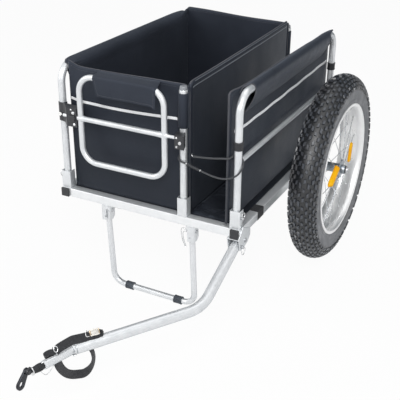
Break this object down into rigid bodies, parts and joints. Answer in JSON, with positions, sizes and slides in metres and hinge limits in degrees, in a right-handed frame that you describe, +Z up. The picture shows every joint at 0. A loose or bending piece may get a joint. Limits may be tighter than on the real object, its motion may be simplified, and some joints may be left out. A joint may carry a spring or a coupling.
{
  "type": "bike cargo trailer",
  "caption": "Two-wheeled bicycle cargo trailer: aluminium tube frame, padded fabric box with an open side bay for long loads, drop stand and folding tow arm with a swivel hitch.",
  "frame": {"origin": "middle of the footprint on the ground, under the centre of the bounding box", "axes": "+Z up, -Y towards the towing bicycle, +X towards the tow arm's side"},
  "size_m": [0.8036, 1.435, 0.6824],
  "materials": {
    "silver_tube": "satin",
    "steel": "satin",
    "polished_rim": "polished",
    "black_plastic": "matte",
    "black_rubber": "matte",
    "tyre": "matte",
    "dark_fabric": "matte",
    "webbing": "matte",
    "amber": "gloss"
  },
  "bodies": {
    "frame": {"side_rail_left": "silver_tube", "side_rail_right": "silver_tube", "front_rail": "silver_tube", "rear_rail": "silver_tube", "axle_tube": "silver_tube", "rail_end_cap_left": "black_plastic", "rail_end_cap_right": "black_plastic", "floor_panel": "dark_fabric", "floor_cover": "dark_fabric", "rail_band": "black_rubber", "side_frame_left": "silver_tube", "side_frame_right": "silver_tube", "hoop_left": "silver_tube", "hoop_right": "silver_tube", "hoop_collar_left_rear": "black_plastic", "hoop_collar_right_front": "black_plastic", "hoop_collar_right_rear": "black_plastic", "middle_post_front": "silver_tube", "middle_post_rear": "silver_tube", "post_plug_front": "black_plastic", "post_plug_rear": "black_plastic", "support_frame": "silver_tube", "support_clamp_left": "black_plastic", "support_clamp_middle": "black_plastic", "panel_left": "dark_fabric", "panel_right": "dark_fabric", "panel_front": "dark_fabric", "panel_rear": "dark_fabric", "panel_divider": "dark_fabric", "bungee_cord": "black_rubber", "cord_hook": "steel", "stand_bracket_left": "silver_tube", "stand_bracket_right": "silver_tube", "stand_bolt_left": "steel", "stand_bolt_right": "steel", "arm_bracket": "silver_tube", "wheel_axle_left": "steel", "wheel_axle_right": "steel"},
    "wheel_left": {"tyre_left": "tyre", "rim_left": "polished_rim", "hub_left": "steel", "reflector_left_1": "amber", "reflector_left_2": "amber"},
    "wheel_right": {"tyre_right": "tyre", "rim_right": "polished_rim", "hub_right": "steel", "reflector_right_1": "amber", "reflector_right_2": "amber"},
    "stand": {"stand_frame": "silver_tube", "stand_foot_left": "black_rubber", "stand_foot_right": "black_rubber"},
    "stand_lever": {"stand_lever": "steel"},
    "tow_arm": {"tow_arm": "silver_tube", "safety_strap": "webbing", "strap_buckle": "black_plastic"},
    "arm_lock_pin": {"arm_lock_pin": "steel"},
    "hitch_coupling": {"hitch_coupling": "black_rubber"},
    "hitch_eye": {"hitch_eye": "steel"},
    "socket_pin_left": {"socket_pin_left": "steel"},
    "socket_pin_right": {"socket_pin_right": "steel"}
  },
  "joints": [
    {"name": "wheel_left_spin", "type": "hinge", "parent": "frame", "child": "wheel_left", "pos_m": [-0.3485, 0.42864, 0.2889], "axis": [1, 0, 0], "continuous": true},
    {"name": "wheel_right_spin", "type": "hinge", "parent": "frame", "child": "wheel_right", "pos_m": [0.3485, 0.42864, 0.2889], "axis": [1, 0, 0], "continuous": true},
    {"name": "stand_fold", "type": "hinge", "parent": "frame", "child": "stand", "pos_m": [0, -0.08986, 0.2609], "axis": [1, 0, 0], "range_deg": [0, 85]},
    {"name": "stand_lever_press", "type": "hinge", "parent": "frame", "child": "stand_lever", "pos_m": [0.11775, -0.08986, 0.2524], "axis": [1, 0, 0], "range_deg": [0, 25], "stiffness_Nm_per_rad": 0.2},
    {"name": "arm_fold", "type": "hinge", "parent": "frame", "child": "tow_arm", "pos_m": [0.2653, -0.07036, 0.2609], "axis": [1, 0, 0], "range_deg": [0, 155]},
    {"name": "arm_lock_pull", "type": "slide", "parent": "frame", "child": "arm_lock_pin", "axis": [1, 0, 0], "range_m": [0, 0.012], "stiffness_N_per_m": 300},
    {"name": "hitch_swivel", "type": "hinge", "parent": "tow_arm", "child": "hitch_coupling", "pos_m": [0.05397, -0.65127, 0.1704], "axis": [0, 0, 1], "range_deg": [-45, 45]},
    {"name": "hitch_eye_tilt", "type": "hinge", "parent": "hitch_coupling", "child": "hitch_eye", "pos_m": [0.04392, -0.6827, 0.1744], "axis": [1, 0, 0], "range_deg": [-25, 25]},
    {"name": "socket_pin_left_pull", "type": "slide", "parent": "frame", "child": "socket_pin_left", "axis": [-1, 0, 0], "range_m": [0, 0.01], "stiffness_N_per_m": 300},
    {"name": "socket_pin_right_pull", "type": "slide", "parent": "frame", "child": "socket_pin_right", "axis": [1, 0, 0], "range_m": [0, 0.01], "stiffness_N_per_m": 300}
  ]
}
